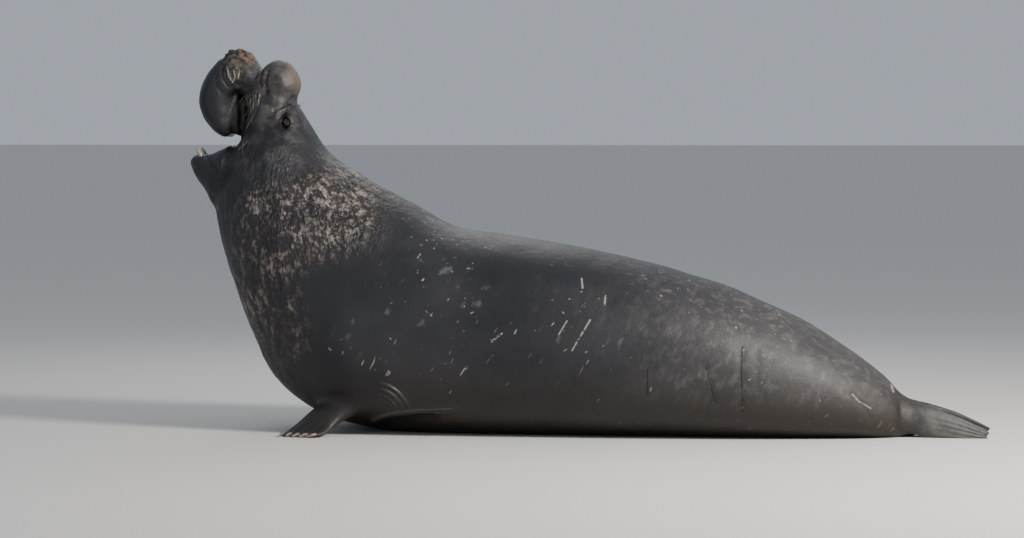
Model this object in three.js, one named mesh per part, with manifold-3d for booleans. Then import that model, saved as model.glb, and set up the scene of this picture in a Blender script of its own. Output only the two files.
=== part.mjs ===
// A life-size northern elephant seal bull, rearing with its head thrown back and its mouth open.
// Millimetres, +Z up, floor at Z = 0. The head points to -X, the left side of the animal is -Y.
import * as THREE from "three";
import { LoftGeometry } from "three/addons/geometries/LoftGeometry.js";
import { mergeVertices } from "three/addons/utils/BufferGeometryUtils.js";
import Module from "manifold-3d";

const wasm = await Module();
wasm.setup();

// Driving sizes
const LENGTH = 3970; // chin to the tips of the hind flippers, along the floor
const HEIGHT = 1870; // floor to the crest of the nose
const WIDTH = 1130; // across the belly
const SEAM = 0.3; // gap between parts that touch

// The station tables below are written for this animal and stretched to the driving sizes.
const DRAWN = new THREE.Vector3(3970, 1130, 1870);
const STRETCH = new THREE.Vector3(LENGTH, WIDTH, HEIGHT).divide(DRAWN);
const HEAD_STRETCH = Math.cbrt(STRETCH.x * STRETCH.y * STRETCH.z);
const place = (x, y, z) => new THREE.Vector3(x, y, z).multiply(STRETCH);

// Facets round each loft, and rows between two of its stations
const TRUNK_FACETS = 34;
const NOSE_FACETS = 26;
const JAW_FACETS = 24;
const FLIPPER_FACETS = 26;
const FLIPPER_ROWS = 9;
const BALL_FACETS = 16;

// Trunk, from the rump to the tip of the upper jaw. Each station is one cross-section: the back and
// belly points as [x, z], half the width, the height of the widest place as a share of the section,
// and the roundness of its corners, 1 for an ellipse and less for a squarer section.
const station = (back, belly, half, widest, round) => ({ back, belly, half, widest, round });
const TRUNK = [
  station([1650, 112], [1662, 52], 40, 0.5, 1),
  station([1622, 150], [1640, 20], 92, 0.48, 1),
  station([1550, 206], [1590, -10], 165, 0.46, 0.98),
  station([1453, 303], [1500, -24], 243, 0.44, 0.96),
  station([1309, 408], [1360, -30], 326, 0.43, 0.94),
  station([1067, 556], [1100, -32], 420, 0.42, 0.92),
  station([776, 684], [800, -32], 487, 0.41, 0.9),
  station([434, 799], [440, -32], 534, 0.41, 0.9),
  station([90, 882], [85, -32], 558, 0.4, 0.9),
  station([-256, 941], [-280, -32], 565, 0.4, 0.9),
  station([-554, 979], [-640, -26], 560, 0.4, 0.9),
  station([-704, 1028], [-960, -6], 550, 0.4, 0.92),
  station([-844, 1111], [-1270, 70], 530, 0.42, 0.94),
  station([-1004, 1194], [-1500, 230], 500, 0.45, 0.96),
  station([-1100, 1250], [-1617, 430], 465, 0.48, 0.97),
  station([-1180, 1298], [-1700, 640], 424, 0.5, 0.98),
  station([-1240, 1342], [-1765, 820], 380, 0.52, 1),
  station([-1290, 1397], [-1810, 985], 332, 0.54, 1),
  station([-1335, 1462], [-1832, 1110], 280, 0.56, 1),
  station([-1372, 1520], [-1790, 1225], 226, 0.56, 1),
  station([-1404, 1573], [-1738, 1335], 182, 0.52, 0.98),
  station([-1436, 1618], [-1704, 1430], 160, 0.56, 0.97),
  station([-1462, 1655], [-1694, 1505], 145, 0.6, 0.97),
  station([-1500, 1690], [-1698, 1570], 128, 0.6, 0.97),
  station([-1555, 1705], [-1702, 1622], 104, 0.56, 0.97),
  station([-1620, 1700], [-1704, 1655], 60, 0.5, 1),
];

// Nose, from its root behind the eyes, over the crest, to the tip that hangs in the mouth.
// The back point is on the outer line and the belly point on the inner line of the bend.
const NOSE = [
  station([-1470, 1590], [-1540, 1585], 60, 0.5, 1),
  station([-1440, 1604], [-1556, 1600], 100, 0.5, 1),
  station([-1414, 1653], [-1576, 1620], 118, 0.5, 0.96),
  station([-1408, 1717], [-1592, 1634], 125, 0.5, 0.94),
  station([-1447, 1789], [-1606, 1640], 124, 0.5, 0.94),
  station([-1507, 1817], [-1620, 1644], 120, 0.5, 0.94),
  station([-1556, 1799], [-1634, 1648], 113, 0.5, 0.94),
  station([-1582, 1768], [-1646, 1650], 108, 0.5, 0.94),
  station([-1612, 1788], [-1656, 1652], 114, 0.5, 0.94),
  station([-1662, 1856], [-1668, 1654], 123, 0.5, 0.94),
  station([-1730, 1866], [-1682, 1654], 131, 0.5, 0.92),
  station([-1795, 1824], [-1694, 1650], 136, 0.5, 0.92),
  station([-1856, 1766], [-1706, 1642], 140, 0.55, 0.93),
  station([-1897, 1690], [-1714, 1626], 141, 0.6, 0.95),
  station([-1910, 1606], [-1719, 1590], 137, 0.62, 0.96),
  station([-1887, 1527], [-1720, 1543], 125, 0.6, 0.97),
  station([-1840, 1467], [-1722, 1495], 104, 0.56, 0.98),
  station([-1792, 1434], [-1728, 1458], 72, 0.5, 1),
  station([-1764, 1424], [-1740, 1434], 28, 0.5, 1),
];

// Lower jaw, from inside the throat to the chin. Back points lie on the lip line.
const JAW = [
  station([-1640, 1390], [-1660, 1150], 60, 0.5, 1),
  station([-1680, 1410], [-1735, 1075], 138, 0.56, 1),
  station([-1742, 1404], [-1812, 1052], 144, 0.6, 0.96),
  station([-1800, 1374], [-1852, 1096], 124, 0.66, 0.92),
  station([-1846, 1354], [-1876, 1152], 104, 0.7, 0.88),
  station([-1890, 1350], [-1908, 1196], 86, 0.7, 0.86),
  station([-1922, 1350], [-1934, 1234], 68, 0.68, 0.88),
  station([-1948, 1338], [-1954, 1276], 44, 0.6, 0.95),
  station([-1960, 1322], [-1962, 1302], 15, 0.5, 1),
];

// Soft swellings of the skin: centre on the left side, mirrored to the right, spread and rise
const swelling = (x, y, z, spread, rise) => ({ at: place(x, y, z), spread, rise });
const TRUNK_SWELLINGS = [
  swelling(-1010, 430, 420, 230, 30), // shoulder
  swelling(-1110, 400, 190, 120, 26), // upper arm under the skin
  swelling(-1462, 130, 1566, 36, 12), // brow
  swelling(-1520, 175, 1430, 75, 14), // jaw muscle
  swelling(-1590, 112, 1590, 46, 16), // whisker pad
  swelling(1480, 120, 150, 110, 14), // hip
];
const NOSE_SWELLINGS = [
  swelling(-1740, 70, 1850, 34, 9), // scabby crest
  swelling(-1690, 60, 1860, 26, 8),
  swelling(-1800, 80, 1800, 30, 7),
];

// Where the trunk is parted, as station numbers
const PARTED = { tail: 2.4, hips: 5.5, belly: 10.5, chest: 15.5, neck: 18.6, head: TRUNK.length - 1 };

// The curves through one table of stations
function loftOf(stations, swellings = []) {
  const through = (pick) =>
    new THREE.CatmullRomCurve3(stations.map(pick), false, "catmullrom", 0.5);
  return {
    last: stations.length - 1,
    back: through((s) => place(s.back[0], 0, s.back[1])),
    belly: through((s) => place(s.belly[0], 0, s.belly[1])),
    side: through((s) => new THREE.Vector3(s.half * STRETCH.y, s.widest, s.round)),
    swellings,
  };
}

const power = (value, exponent) => Math.sign(value) * Math.abs(value) ** exponent;

// How far the swellings push a point out
function rise(point, swellings) {
  return swellings.reduce((sum, s) => {
    const near = new THREE.Vector3(s.at.x, Math.sign(point.y) * s.at.y, s.at.z).distanceTo(point);
    return sum + s.rise * Math.exp(-((near / s.spread) ** 2));
  }, 0);
}

// One cross-section as a ring of points, grown outwards and moved along the loft by small amounts
function ring(loft, number, facets, grow = 0, forward = 0) {
  const t = number / loft.last;
  const back = loft.back.getPoint(t);
  const belly = loft.belly.getPoint(t);
  const side = loft.side.getPoint(t);
  const tall = back.clone().sub(belly);
  const centre = belly.clone().addScaledVector(tall, side.y);
  const ahead = new THREE.Vector3(-tall.z, 0, tall.x).normalize();
  return Array.from({ length: facets }, (_, i) => {
    const angle = (2 * Math.PI * i) / facets;
    const up = power(Math.sin(angle), side.z);
    const point = centre.clone().addScaledVector(tall, up * (up > 0 ? 1 - side.y : side.y));
    point.y = -side.x * power(Math.cos(angle), side.z);
    const out = point.clone().sub(centre).normalize();
    point.addScaledVector(out, rise(point, loft.swellings) + grow);
    point.addScaledVector(ahead, forward);
    point.z = Math.max(point.z, 0);
    return point;
  });
}

const middle = (points) =>
  points.reduce((sum, p) => sum.add(p), new THREE.Vector3()).divideScalar(points.length);

// Closes a stack of rings at both ends and makes it one solid
function solidOf(rings) {
  const end = (points) => points.map(() => middle(points));
  const sections = [end(rings[0]), ...rings, end(rings.at(-1))];
  return closed(new LoftGeometry(sections));
}

// Turns a closed geometry into a solid that can be joined and cut
function closed(geometry) {
  const bare = new THREE.BufferGeometry().copy(geometry);
  bare.deleteAttribute("normal");
  bare.deleteAttribute("uv");
  const merged = mergeVertices(bare, 1e-4);
  const corners = [];
  for (let i = 0; i < merged.index.count; i += 3) {
    const face = [0, 1, 2].map((k) => merged.index.getX(i + k));
    if (new Set(face).size === 3) corners.push(...face);
  }
  const { array } = merged.attributes.position;
  const triVerts = new Uint32Array(corners);
  return new wasm.Manifold(new wasm.Mesh({ numProp: 3, vertProperties: array, triVerts }));
}

// Station numbers of the rows between two stations
function rowsOf(from, to, perStation) {
  const rows = Math.max(2, Math.round((to - from) * perStation));
  return Array.from({ length: rows + 1 }, (_, i) => from + ((to - from) * i) / rows);
}

// The solid through these rows. Its flat ends are set back by half a seam, or out when it is grown.
function stretchOf(loft, numbers, facets, grow = 0) {
  const last = numbers.length - 1;
  const back = grow > 0 ? -grow : SEAM / 2;
  return solidOf(
    numbers.map((number, i) => {
      const forward = i === 0 ? back : i === last ? -back : 0;
      return ring(loft, number, facets, grow, forward);
    }),
  );
}

// A ball, stretched, leant about the Y axis and placed
function ball(centre, radii, lean = 0, grow = 0) {
  const geometry = new THREE.SphereGeometry(1, BALL_FACETS, BALL_FACETS / 2);
  geometry.scale(...radii.map((r) => r * HEAD_STRETCH + grow)).rotateY(lean);
  geometry.translate(...place(...centre));
  return closed(geometry);
}

// A limb: rings square to a path, each with half its breadth and half its thickness.
// across is the direction over the limb, and form may thin or lengthen each point.
const limbStation = (x, y, z, broad, thick) => ({ at: [x, y, z], broad, thick });

function limbOf(stations, across, form) {
  const through = (pick) =>
    new THREE.CatmullRomCurve3(stations.map(pick), false, "catmullrom", 0.5);
  return {
    path: through((s) => place(...s.at)),
    size: through((s) => new THREE.Vector3(s.broad, s.thick, 0).multiplyScalar(HEAD_STRETCH)),
    across: new THREE.Vector3(...across),
    form,
  };
}

// A place on a limb: t along it, a across it from -1 to 1, and b through it from -1 to 1
function onLimb(limb, t, a, b, grow = 0) {
  const along = limb.path.getTangent(t);
  const across = limb.across.clone().addScaledVector(along, -limb.across.dot(along)).normalize();
  const up = along.clone().cross(across);
  const half = limb.size.getPoint(t);
  const { thin, lead } = limb.form(t, a);
  const point = limb.path.getPoint(t);
  point.addScaledVector(across, (half.x + grow) * a);
  point.addScaledVector(up, (half.y * thin + grow) * b);
  point.addScaledVector(along, lead * HEAD_STRETCH + (2 * t - 1) * grow);
  return point;
}

function limbSolid(limb, facets, rows, grow = 0) {
  const rings = Array.from({ length: rows + 1 }, (_, row) =>
    Array.from({ length: facets }, (_, i) => {
      const angle = (2 * Math.PI * i) / facets;
      const point = onLimb(limb, row / rows, Math.cos(angle), Math.sin(angle), grow);
      point.z = Math.max(point.z, 0);
      return point;
    }),
  );
  return solidOf(rings);
}

const plain = () => ({ thin: 1, lead: 0 });

// Digits of a flipper: ridges along it, at these places across it from -1 to 1
const DIGITS = [-0.84, -0.42, 0, 0.42, 0.84];
const DIGIT_SPREAD = 0.17;
const WEB = 0.6; // thickness of the web as a share of a digit's
const digit = (a) => Math.max(...DIGITS.map((d) => Math.exp(-(((a - d) / DIGIT_SPREAD) ** 2))));
const opened = (t, a, from) => {
  const open = THREE.MathUtils.smoothstep(t, from, 1);
  return { open, thin: 1 - (1 - WEB) * open * (1 - digit(a)) };
};

// Foreflipper, from inside the chest to its digits, planted flat and turned outwards
const FOREFLIPPER = [
  limbStation(-1000, -300, 205, 118, 80),
  limbStation(-1085, -362, 165, 112, 70),
  limbStation(-1148, -398, 122, 104, 56),
  limbStation(-1192, -430, 84, 104, 43),
  limbStation(-1228, -466, 50, 110, 31),
  limbStation(-1256, -506, 26, 112, 22),
  limbStation(-1272, -534, 15, 100, 15),
];
const FORE_ACROSS = [0.85, -0.5, -0.02];
const FORE_DIGIT = 20; // how far a digit stands out beyond the web
const FORE_FIRST = 44; // how much farther the first digit reaches than the fifth

function foreForm(t, a) {
  const { open, thin } = opened(t, a, 0.45);
  return { thin, lead: open * (FORE_DIGIT * digit(a) + (FORE_FIRST * (1 - a)) / 2) };
}

// Claws of a foreflipper, one on the upper side of each digit
const CLAW_LENGTH = 44;
const CLAW_ROOT = 0.94; // where along the flipper the claw leaves the skin
const CLAW_RADIUS = 8;
const CLAW_TIP = [1.5, 5]; // radius and height of its tip

// Hind flipper: a closed fan that stands on its lower edge behind the rump
const HIND_FLIPPER = [
  limbStation(1500, -80, 108, 92, 58),
  limbStation(1600, -98, 90, 78, 44),
  limbStation(1690, -112, 74, 70, 31),
  limbStation(1790, -118, 54, 58, 22),
  limbStation(1880, -120, 32, 40, 16),
  limbStation(1945, -120, 16, 22, 11),
];
const HIND_ACROSS = [0.1, 0.22, 1];
const HIND_DIGIT = 14;
const HIND_OUTER = 20; // how much farther the outer digits reach than the middle one

function hindForm(t, a) {
  const { open, thin } = opened(t, a, 0.3);
  return { thin, lead: open * (HIND_DIGIT * digit(a) + HIND_OUTER * Math.abs(a)) };
}

const TAIL = [
  limbStation(1540, 0, 150, 66, 50),
  limbStation(1620, 0, 138, 56, 34),
  limbStation(1690, 0, 116, 42, 22),
  limbStation(1740, 0, 96, 20, 12),
];

// Eye: a ball set in the side of the head, with lids round an almond opening
const EYE_AT = [-1444, -124, 1506]; // the left one
const EYE_RADIUS = 30;
const LIDS = [43, 33, 54]; // half the depth, width and height of the lids, as x, y and z
const OPENING = [20, 31]; // half the width and height of the almond
const EYE_TILT = -0.12; // lean of the almond, radians

// Nostrils: two slits in the lower tip of the nose
const NOSTRIL_AT = [-1862, -44, 1492];
const NOSTRIL = [26, 9, 34];
const NOSTRIL_LEAN = 0.8;

// Upper lip: the fold of flesh that joins the hanging nose to the muzzle
const LIP_AT = [-1714, 0, 1545];
const LIP = [36, 84, 112];

// Mouth: hollows in the roof and the floor, and the tongue lying in the floor
const ROOF_AT = [-1712, 0, 1392];
const ROOF = [46, 70, 48];
const FLOOR_AT = [-1806, 0, 1396];
const FLOOR = [112, 72, 42];
const FLOOR_LEAN = -0.34;
const TONGUE_AT = [-1786, 0, 1354];
const TONGUE = [96, 48, 25];

// Lower canine: it stands behind the lip, on each side of the chin
const CANINE = [
  limbStation(-1894, -48, 1318, 12, 12),
  limbStation(-1902, -50, 1346, 11, 11),
  limbStation(-1912, -51, 1368, 8, 8),
  limbStation(-1922, -51, 1384, 2, 2),
];

// The same solid on the other side of the animal
function mirrored(solid) {
  const { vertProperties, triVerts, numProp } = solid.getMesh();
  const turned = triVerts.map((_, i) => triVerts[i - (i % 3) + 2 - (i % 3)]);
  const across = vertProperties.map((value, i) => (i % numProp === 1 ? -value : value));
  return new wasm.Manifold(new wasm.Mesh({ numProp, vertProperties: across, triVerts: turned }));
}

// Only the largest closed surface of a node is kept
function largest(solid) {
  return solid.decompose().reduce((best, s) => (s.volume() > best.volume() ? s : best));
}

const seal = new THREE.Group();

const materialOf = (color, roughness) =>
  new THREE.MeshStandardMaterial({ color, roughness, metalness: 0 });
const HIDE = materialOf(0x2b2a2c, 0.62);
const SHIELD = materialOf(0x4a3f3c, 0.75);
const FLIPPER_HIDE = materialOf(0x242224, 0.6);
const CLAW = materialOf(0x39342f, 0.4);
const EYE = materialOf(0x0b0908, 0.08);
const IVORY = materialOf(0xb8a98a, 0.35);
const MOUTH = materialOf(0x5a2f2e, 0.4);

function add(name, solid, material) {
  const { vertProperties, triVerts, numProp } = largest(solid).getMesh();
  const geometry = new THREE.BufferGeometry();
  const places = new THREE.InterleavedBuffer(vertProperties, numProp);
  geometry.setAttribute("position", new THREE.InterleavedBufferAttribute(places, 3, 0));
  geometry.setIndex(new THREE.BufferAttribute(triVerts, 1));
  geometry.computeVertexNormals();
  const mesh = new THREE.Mesh(geometry, material);
  mesh.name = name;
  seal.add(mesh);
}

const trunk = loftOf(TRUNK, TRUNK_SWELLINGS);
const nose = loftOf(NOSE, NOSE_SWELLINGS);
const jaw = loftOf(JAW);

// Rows of each part of the trunk, from the rump forwards
const HIPS_ROWS = rowsOf(0, PARTED.hips, 1.3);
const BELLY_ROWS = rowsOf(PARTED.hips, PARTED.belly, 1.3);
const CHEST_ROWS = rowsOf(PARTED.belly, PARTED.chest, 1.5);
const NECK_ROWS = rowsOf(PARTED.chest, PARTED.neck, 1.6);
const HEAD_ROWS = rowsOf(PARTED.neck, PARTED.head, 2);
const TRUNK_ROWS = [HIPS_ROWS, BELLY_ROWS, CHEST_ROWS, NECK_ROWS, HEAD_ROWS].flatMap((rows, i) =>
  i === 0 ? rows : rows.slice(1),
);
const NOSE_ROWS = rowsOf(0, nose.last, 1.35);
const JAW_ROWS = rowsOf(0, jaw.last, 1.5);

// The same forms one seam larger all round, for cutting back what meets them
const trunkAndSeam = stretchOf(trunk, TRUNK_ROWS, TRUNK_FACETS, SEAM);
const noseAndSeam = stretchOf(nose, NOSE_ROWS, NOSE_FACETS, SEAM);

add("hips", stretchOf(trunk, HIPS_ROWS, TRUNK_FACETS), HIDE);
add("belly", stretchOf(trunk, BELLY_ROWS, TRUNK_FACETS), HIDE);
add("chest", stretchOf(trunk, CHEST_ROWS, TRUNK_FACETS), SHIELD);
add("neck", stretchOf(trunk, NECK_ROWS, TRUNK_FACETS), SHIELD);

// The almond between the left lids, as a block that runs out through the side of the head
function almond() {
  const [half, tall] = OPENING.map((size) => size * HEAD_STRETCH);
  const shape = new THREE.Shape();
  shape.moveTo(0, -tall);
  shape.quadraticCurveTo(2 * half, 0, 0, tall);
  shape.quadraticCurveTo(-2 * half, 0, 0, -tall);
  const depth = 4 * EYE_RADIUS * HEAD_STRETCH;
  const block = new THREE.ExtrudeGeometry(shape, { depth, bevelEnabled: false, curveSegments: 8 });
  block.rotateX(Math.PI / 2).rotateY(EYE_TILT).translate(...place(...EYE_AT));
  return closed(block);
}

// Adds a node of the left side and its mirror image, both cut back from what they meet
function addBoth(name, solid, material, cutters = [], number = "") {
  const cut = (whole) => cutters.reduce((left, cutter) => left.subtract(cutter), whole);
  add(`${name}_left${number}`, cut(solid), material);
  add(`${name}_right${number}`, cut(mirrored(solid)), material);
}

const eyeball = [EYE_RADIUS, EYE_RADIUS, EYE_RADIUS];
const lids = ball(EYE_AT, LIDS, EYE_TILT);
const opening = almond().add(ball(EYE_AT, eyeball, 0, SEAM));
const head = stretchOf(trunk, HEAD_ROWS, TRUNK_FACETS)
  .add(lids)
  .add(mirrored(lids))
  .subtract(opening)
  .subtract(mirrored(opening))
  .subtract(ball(ROOF_AT, ROOF));
add("head", head, HIDE);
addBoth("eye", ball(EYE_AT, eyeball), EYE);

const nostril = ball(NOSTRIL_AT, NOSTRIL, NOSTRIL_LEAN);
const noseSolid = stretchOf(nose, NOSE_ROWS, NOSE_FACETS)
  .add(ball(LIP_AT, LIP))
  .subtract(trunkAndSeam)
  .subtract(nostril)
  .subtract(mirrored(nostril));
add("nose", noseSolid, HIDE);

const jawSolid = stretchOf(jaw, JAW_ROWS, JAW_FACETS)
  .subtract(trunkAndSeam)
  .subtract(noseAndSeam)
  .subtract(ball(FLOOR_AT, FLOOR, FLOOR_LEAN));
add("lower_jaw", jawSolid, HIDE);
const floorLessSeam = ball(FLOOR_AT, FLOOR, FLOOR_LEAN, -SEAM);
const tongue = ball(TONGUE_AT, TONGUE, FLOOR_LEAN).intersect(floorLessSeam);
add("tongue", tongue.subtract(trunkAndSeam).subtract(noseAndSeam), MOUTH);
const canine = limbSolid(limbOf(CANINE, [0, -1, 0], plain), 12, 6);
addBoth("canine", canine, IVORY, [stretchOf(jaw, JAW_ROWS, JAW_FACETS, SEAM)]);

const tail = limbOf(TAIL, [0, -1, 0], plain);
const tailAndSeam = limbSolid(tail, 20, 6, SEAM);
add("tail", limbSolid(tail, 20, 6).subtract(trunkAndSeam), HIDE);
const hind = limbSolid(limbOf(HIND_FLIPPER, HIND_ACROSS, hindForm), FLIPPER_FACETS, FLIPPER_ROWS);
addBoth("hind_flipper", hind, FLIPPER_HIDE, [trunkAndSeam, tailAndSeam]);

// The claws stand in sockets of the foreflippers
const fore = limbOf(FOREFLIPPER, FORE_ACROSS, foreForm);
const sockets = DIGITS.map((a, i) => {
  const root = onLimb(fore, CLAW_ROOT, a, 0.3);
  const end = onLimb(fore, 1, a, 0);
  const forward = end.clone().sub(root).setZ(0).normalize();
  const knuckle = end.clone().addScaledVector(forward, CLAW_LENGTH * 0.3);
  knuckle.z = CLAW_RADIUS + CLAW_TIP[1];
  root.z = Math.max(root.z, knuckle.z);
  const tip = end.clone().addScaledVector(forward, CLAW_LENGTH).setZ(CLAW_TIP[1]);
  const radii = [CLAW_RADIUS, CLAW_RADIUS, CLAW_TIP[0]];
  const stations = [root, knuckle, tip].map((p, k) => {
    const { x, y, z } = p.divide(STRETCH);
    return limbStation(x, y, z, radii[k], radii[k]);
  });
  const claw = limbOf(stations, [forward.y, -forward.x, 0], plain);
  addBoth("claw", limbSolid(claw, 10, 5), CLAW, [], `_${i + 1}`);
  return limbSolid(claw, 10, 5, SEAM);
});
const foreSolid = sockets.reduce((flipper, socket) => flipper.subtract(socket), limbSolid(fore, FLIPPER_FACETS, FLIPPER_ROWS));
addBoth("foreflipper", foreSolid, FLIPPER_HIDE, [trunkAndSeam]);

// The origin is on the floor, under the middle of the whole length
const middleOfLength = new THREE.Box3().setFromObject(seal).getCenter(new THREE.Vector3()).x;
seal.children.forEach((mesh) => mesh.geometry.translate(-middleOfLength, 0, 0));

export default seal;
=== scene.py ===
"""A life-size northern elephant seal bull, rearing with its head thrown back and its mouth open.

Metres, +Z up, floor at Z = 0. The head points to -X and the left side of the animal is -Y.
The tables below are in millimetres, measured before the model is moved to its middle.
"""

import bpy
import numpy as np
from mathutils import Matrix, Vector


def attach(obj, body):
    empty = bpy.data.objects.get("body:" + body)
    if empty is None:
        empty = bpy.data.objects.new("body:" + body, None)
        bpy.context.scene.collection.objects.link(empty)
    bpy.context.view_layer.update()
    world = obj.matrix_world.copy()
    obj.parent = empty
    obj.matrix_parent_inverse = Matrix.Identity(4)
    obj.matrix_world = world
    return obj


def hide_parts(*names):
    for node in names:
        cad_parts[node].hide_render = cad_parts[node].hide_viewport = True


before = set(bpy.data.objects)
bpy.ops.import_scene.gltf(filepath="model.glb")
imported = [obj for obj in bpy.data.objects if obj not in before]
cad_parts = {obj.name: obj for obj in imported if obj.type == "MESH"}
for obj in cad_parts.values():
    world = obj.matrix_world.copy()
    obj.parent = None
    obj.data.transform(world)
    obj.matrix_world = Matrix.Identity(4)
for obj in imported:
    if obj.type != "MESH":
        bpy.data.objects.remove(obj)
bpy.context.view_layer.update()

MM = 0.001
SIDES = ("left", "right")
TO_MIDDLE = np.array([-8.9, 0.0, 0.0])  # from the tables' zero to the middle of the length

# Trunk, from the rump to the tip of the upper jaw. One row is one cross-section: x and z of its
# back point, x and z of its belly point, half its width, the height of its widest place as a
# share of the section, and the roundness of its corners, 1 for an ellipse.
TRUNK = [
    (1650, 112, 1662, 52, 40, 0.5, 1),
    (1622, 150, 1640, 20, 92, 0.48, 1),
    (1550, 206, 1590, -10, 165, 0.46, 0.98),
    (1453, 303, 1500, -24, 243, 0.44, 0.96),
    (1309, 408, 1360, -30, 326, 0.43, 0.94),
    (1067, 556, 1100, -32, 420, 0.42, 0.92),
    (776, 684, 800, -32, 487, 0.41, 0.9),
    (434, 799, 440, -32, 534, 0.41, 0.9),
    (90, 882, 85, -32, 558, 0.4, 0.9),
    (-256, 941, -280, -32, 565, 0.4, 0.9),
    (-554, 979, -640, -26, 560, 0.4, 0.9),
    (-704, 1028, -960, -6, 550, 0.4, 0.92),
    (-844, 1111, -1270, 70, 530, 0.42, 0.94),
    (-1004, 1194, -1500, 230, 500, 0.45, 0.96),
    (-1100, 1250, -1617, 430, 465, 0.48, 0.97),
    (-1180, 1298, -1700, 640, 424, 0.5, 0.98),
    (-1240, 1342, -1765, 820, 380, 0.52, 1),
    (-1290, 1397, -1810, 985, 332, 0.54, 1),
    (-1335, 1462, -1832, 1110, 280, 0.56, 1),
    (-1372, 1520, -1790, 1225, 226, 0.56, 1),
    (-1404, 1573, -1738, 1335, 182, 0.52, 0.98),
    (-1436, 1618, -1704, 1430, 160, 0.56, 0.97),
    (-1462, 1655, -1694, 1505, 145, 0.6, 0.97),
    (-1500, 1690, -1698, 1570, 128, 0.6, 0.97),
    (-1555, 1705, -1702, 1622, 104, 0.56, 0.97),
    (-1620, 1700, -1704, 1655, 60, 0.5, 1),
]

# Nose, from its root behind the eyes, over the crest, to the tip that hangs in the mouth:
# the back point is on the outer line of the bend and the belly point on its inner line.
NOSE = [
    (-1470, 1590, -1540, 1585, 60, 0.5, 1),
    (-1440, 1604, -1556, 1600, 100, 0.5, 1),
    (-1414, 1653, -1576, 1620, 118, 0.5, 0.96),
    (-1408, 1717, -1592, 1634, 125, 0.5, 0.94),
    (-1447, 1789, -1606, 1640, 124, 0.5, 0.94),
    (-1507, 1817, -1620, 1644, 120, 0.5, 0.94),
    (-1556, 1799, -1634, 1648, 113, 0.5, 0.94),
    (-1582, 1768, -1646, 1650, 108, 0.5, 0.94),
    (-1612, 1788, -1656, 1652, 114, 0.5, 0.94),
    (-1662, 1856, -1668, 1654, 123, 0.5, 0.94),
    (-1730, 1866, -1682, 1654, 131, 0.5, 0.92),
    (-1795, 1824, -1694, 1650, 136, 0.5, 0.92),
    (-1856, 1766, -1706, 1642, 140, 0.55, 0.93),
    (-1897, 1690, -1714, 1626, 141, 0.6, 0.95),
    (-1910, 1606, -1719, 1590, 137, 0.62, 0.96),
    (-1887, 1527, -1720, 1543, 125, 0.6, 0.97),
    (-1840, 1467, -1722, 1495, 104, 0.56, 0.98),
    (-1792, 1434, -1728, 1458, 72, 0.5, 1),
    (-1764, 1424, -1740, 1434, 28, 0.5, 1),
]

# Lower jaw, from inside the throat to the chin. Back points lie on the lip line.
JAW = [
    (-1640, 1390, -1660, 1150, 60, 0.5, 1),
    (-1680, 1410, -1735, 1075, 138, 0.56, 1),
    (-1742, 1404, -1812, 1052, 144, 0.6, 0.96),
    (-1800, 1374, -1852, 1096, 124, 0.66, 0.92),
    (-1846, 1354, -1876, 1152, 104, 0.7, 0.88),
    (-1890, 1350, -1908, 1196, 86, 0.7, 0.86),
    (-1922, 1350, -1934, 1234, 68, 0.68, 0.88),
    (-1948, 1338, -1954, 1276, 44, 0.6, 0.95),
    (-1960, 1322, -1962, 1302, 15, 0.5, 1),
]

# Soft swellings: x, y and z of the middle on the left side, spread, and rise
TRUNK_SWELLINGS = [
    (-1010, -430, 420, 230, 30),
    (-1110, -400, 190, 120, 26),
    (-1462, -130, 1566, 36, 12),
    (-1520, -175, 1430, 75, 14),
    (-1590, -112, 1590, 46, 16),
    (1480, -120, 150, 110, 14),
]
NOSE_SWELLINGS = [
    (-1740, -70, 1850, 34, 9),
    (-1690, -60, 1860, 26, 8),
    (-1800, -80, 1800, 30, 7),
]

# Limbs of the left side: x, y and z of the path, half the breadth, half the thickness
FOREFLIPPER = [
    (-1000, -300, 205, 118, 80),
    (-1085, -362, 165, 112, 70),
    (-1148, -398, 122, 104, 56),
    (-1192, -430, 84, 104, 43),
    (-1228, -466, 50, 110, 31),
    (-1256, -506, 26, 112, 22),
    (-1272, -534, 15, 100, 15),
]
HIND_FLIPPER = [
    (1500, -80, 108, 92, 58),
    (1600, -98, 90, 78, 44),
    (1690, -112, 74, 70, 31),
    (1790, -118, 54, 58, 22),
    (1880, -120, 32, 40, 16),
    (1945, -120, 16, 22, 11),
]
TAIL = [
    (1540, 0, 150, 66, 50),
    (1620, 0, 138, 56, 34),
    (1690, 0, 116, 42, 22),
    (1740, 0, 96, 20, 12),
]

# Directions across the limbs, from the first digit to the last
FORE_ACROSS = (0.85, -0.5, -0.02)
HIND_ACROSS = (0.1, 0.22, 1.0)
TAIL_ACROSS = (0, -1, 0)

# Digits: places across a flipper from -1 to 1, spread of a ridge, and thickness of the web. Then
# how far each digit reaches past the web, how much farther the first or the outer ones do, and
# the share of the limb where the web begins.
DIGITS = np.array([-0.84, -0.42, 0.0, 0.42, 0.84])
DIGIT_SPREAD, WEB = 0.17, 0.6
FORE_DIGIT, FORE_FIRST, FORE_OPENS = 20, 44, 0.45
HIND_DIGIT, HIND_OUTER, HIND_OPENS = 14, 20, 0.3

# Claws: length, the root's place along the flipper and above its middle, the knuckle's share of
# the length, and the radii and the tip's height
CLAW_LENGTH, CLAW_ROOT, CLAW_ROOT_UP, CLAW_KNUCKLE = 44, 0.94, 0.3, 0.3
CLAW_RADIUS, CLAW_TIP_RADIUS, CLAW_TIP_HEIGHT = 8, 1.5, 5

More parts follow.
